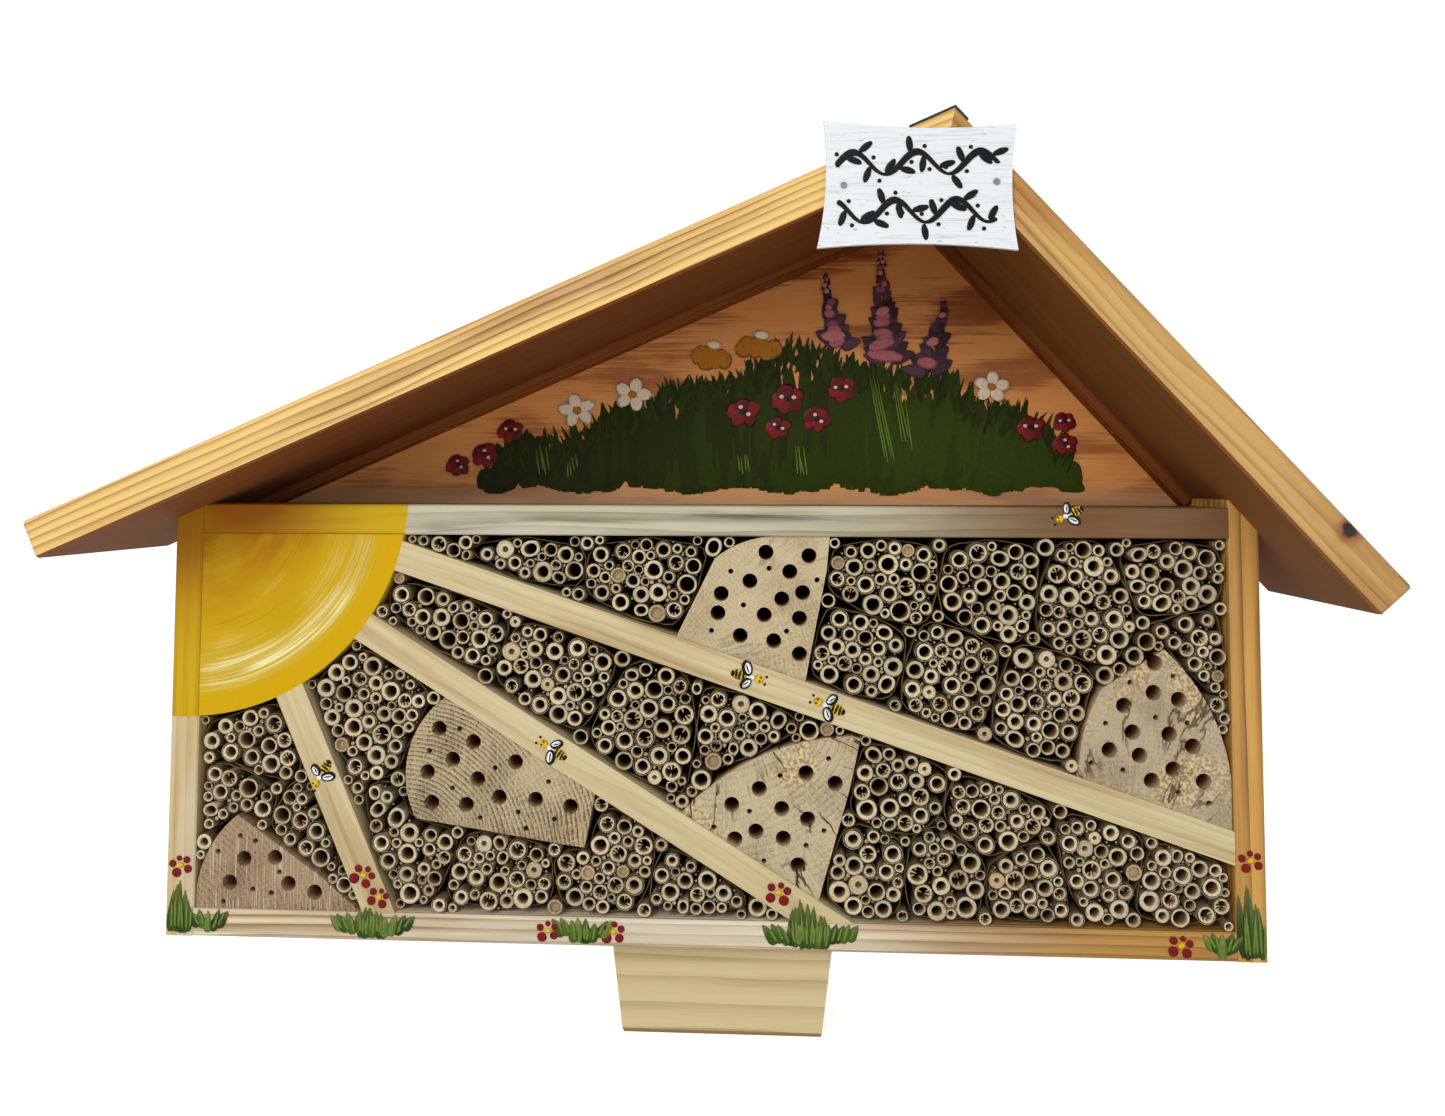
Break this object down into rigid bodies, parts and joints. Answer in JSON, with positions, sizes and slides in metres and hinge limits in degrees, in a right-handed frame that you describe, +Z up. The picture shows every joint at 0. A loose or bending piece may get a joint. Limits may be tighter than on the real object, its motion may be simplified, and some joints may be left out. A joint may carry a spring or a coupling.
{
  "type": "insect hotel",
  "caption": "Open-fronted wooden insect hotel with a lopsided pitched roof, reed bundles, drilled log pieces, a quarter-disc sun with slat rays, a sign board and a foot block.",
  "frame": {"origin": "middle of the foot block's lower face, where the hotel sits on its post", "axes": "+X to the viewer's right along the front, +Y from the open front towards the back panel, +Z up"},
  "size_m": [0.7972, 0.1438, 0.5653],
  "materials": {
    "pine_board": "planed pale pine, thin clear coat",
    "whitewashed_pine": "thin white wash over weathered pine",
    "glazed_plywood": "red-brown wood glaze, satin",
    "glazed_strip": "brown wood glaze, satin",
    "roof_pine": "golden pine with clear glaze, brown glaze underneath",
    "black_felt": "bitumen roofing felt, matt",
    "sun_paint": "brushed yellow acrylic paint on wood",
    "foot_pine": "planed pale pine, untreated",
    "sign_paint": "white brushed paint on thin plywood",
    "ray_pine": "planed pale pine, clear coat",
    "log_wood": "sanded end grain, untreated",
    "reed_stem": "dry hollow reed",
    "leaf_wrap": "dry split leaf",
    "dowel_wood": "plain beech dowel",
    "fastener_steel": "zinc plated"
  },
  "bodies": {
    "root": {"back_panel": "glazed_plywood", "batten_nails": "fastener_steel", "bottom_board": "pine_board", "bundle_wraps": "leaf_wrap", "foot_block": "foot_pine", "foot_screws": "fastener_steel", "frame_screws": "fastener_steel", "gable_batten_left": "glazed_strip", "gable_batten_right": "glazed_strip", "joint_dowels": "dowel_wood", "log_centre": "log_wood", "log_corner": "log_wood", "log_left": "log_wood", "log_right": "log_wood", "log_top": "log_wood", "panel_screws": "fastener_steel", "ray_and_sun_screws": "fastener_steel", "ray_long": "ray_pine", "ray_middle": "ray_pine", "ray_short": "ray_pine", "reed_bundle_01": "reed_stem", "reed_bundle_02": "reed_stem", "reed_bundle_03": "reed_stem", "reed_bundle_04": "reed_stem", "reed_bundle_05": "reed_stem", "reed_bundle_06": "reed_stem", "reed_bundle_07": "reed_stem", "reed_bundle_08": "reed_stem", "reed_bundle_09": "reed_stem", "reed_bundle_10": "reed_stem", "reed_bundle_11": "reed_stem", "reed_bundle_12": "reed_stem", "reed_bundle_13": "reed_stem", "reed_bundle_14": "reed_stem", "reed_bundle_15": "reed_stem", "reed_bundle_16": "reed_stem", "reed_bundle_17": "reed_stem", "reed_bundle_18": "reed_stem", "reed_bundle_19": "reed_stem", "reed_bundle_20": "reed_stem", "reed_bundle_21": "reed_stem", "reed_bundle_22": "reed_stem", "reed_bundle_23": "reed_stem", "reed_bundle_24": "reed_stem", "reed_bundle_25": "reed_stem", "reed_bundle_26": "reed_stem", "reed_bundle_27": "reed_stem", "reed_bundle_28": "reed_stem", "reed_bundle_29": "reed_stem", "reeds_loose": "reed_stem", "ridge_felt": "black_felt", "roof_board_left": "roof_pine", "roof_board_right": "roof_pine", "roof_screws": "fastener_steel", "side_board_left": "pine_board", "side_board_right": "pine_board", "sign_board": "sign_paint", "sign_nails": "fastener_steel", "sun_disc": "sun_paint", "top_rail": "whitewashed_pine"}
  },
  "joints": []
}
